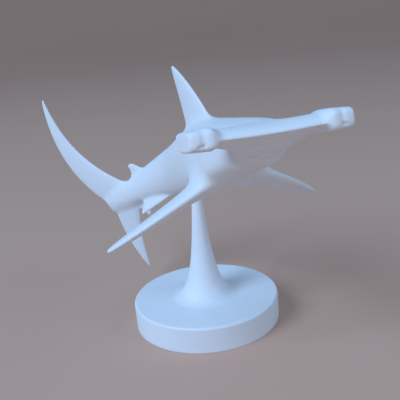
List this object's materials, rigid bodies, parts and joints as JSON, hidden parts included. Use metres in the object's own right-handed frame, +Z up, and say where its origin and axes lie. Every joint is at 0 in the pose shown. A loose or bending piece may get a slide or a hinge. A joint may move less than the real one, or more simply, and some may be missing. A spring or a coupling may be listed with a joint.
{
  "type": "hammerhead shark statuette",
  "caption": "Matte white printed statuette of a great hammerhead shark, swimming nose up on a trumpet-shaped column and a round base.",
  "frame": {"origin": "centre of the round base's underside, on the surface that the statuette stands on", "axes": "+Z up along the column; the viewer of the reference picture looks along +Y with +X to the right, and the shark swims towards -Y and +X, nose up, with its tail behind and to the left"},
  "size_m": [0.148, 0.1867, 0.1404],
  "materials": {
    "shark_plastic": "matte white printed plastic with faint layer lines",
    "stand_plastic": "matte white printed plastic with faint layer lines"
  },
  "bodies": {
    "root": {"head": "shark_plastic", "eye_left": "shark_plastic", "eye_right": "shark_plastic", "gill_section": "shark_plastic", "trunk_front": "shark_plastic", "trunk_rear": "shark_plastic", "tail_stalk": "shark_plastic", "dorsal_fin_first": "shark_plastic", "dorsal_fin_second": "shark_plastic", "pectoral_fin_left": "shark_plastic", "pectoral_fin_right": "shark_plastic", "pelvic_fin_left": "shark_plastic", "pelvic_fin_right": "shark_plastic", "tail_fin_upper": "shark_plastic", "tail_fin_lower": "shark_plastic", "stand_column": "stand_plastic", "stand_base": "stand_plastic"}
  },
  "joints": []
}
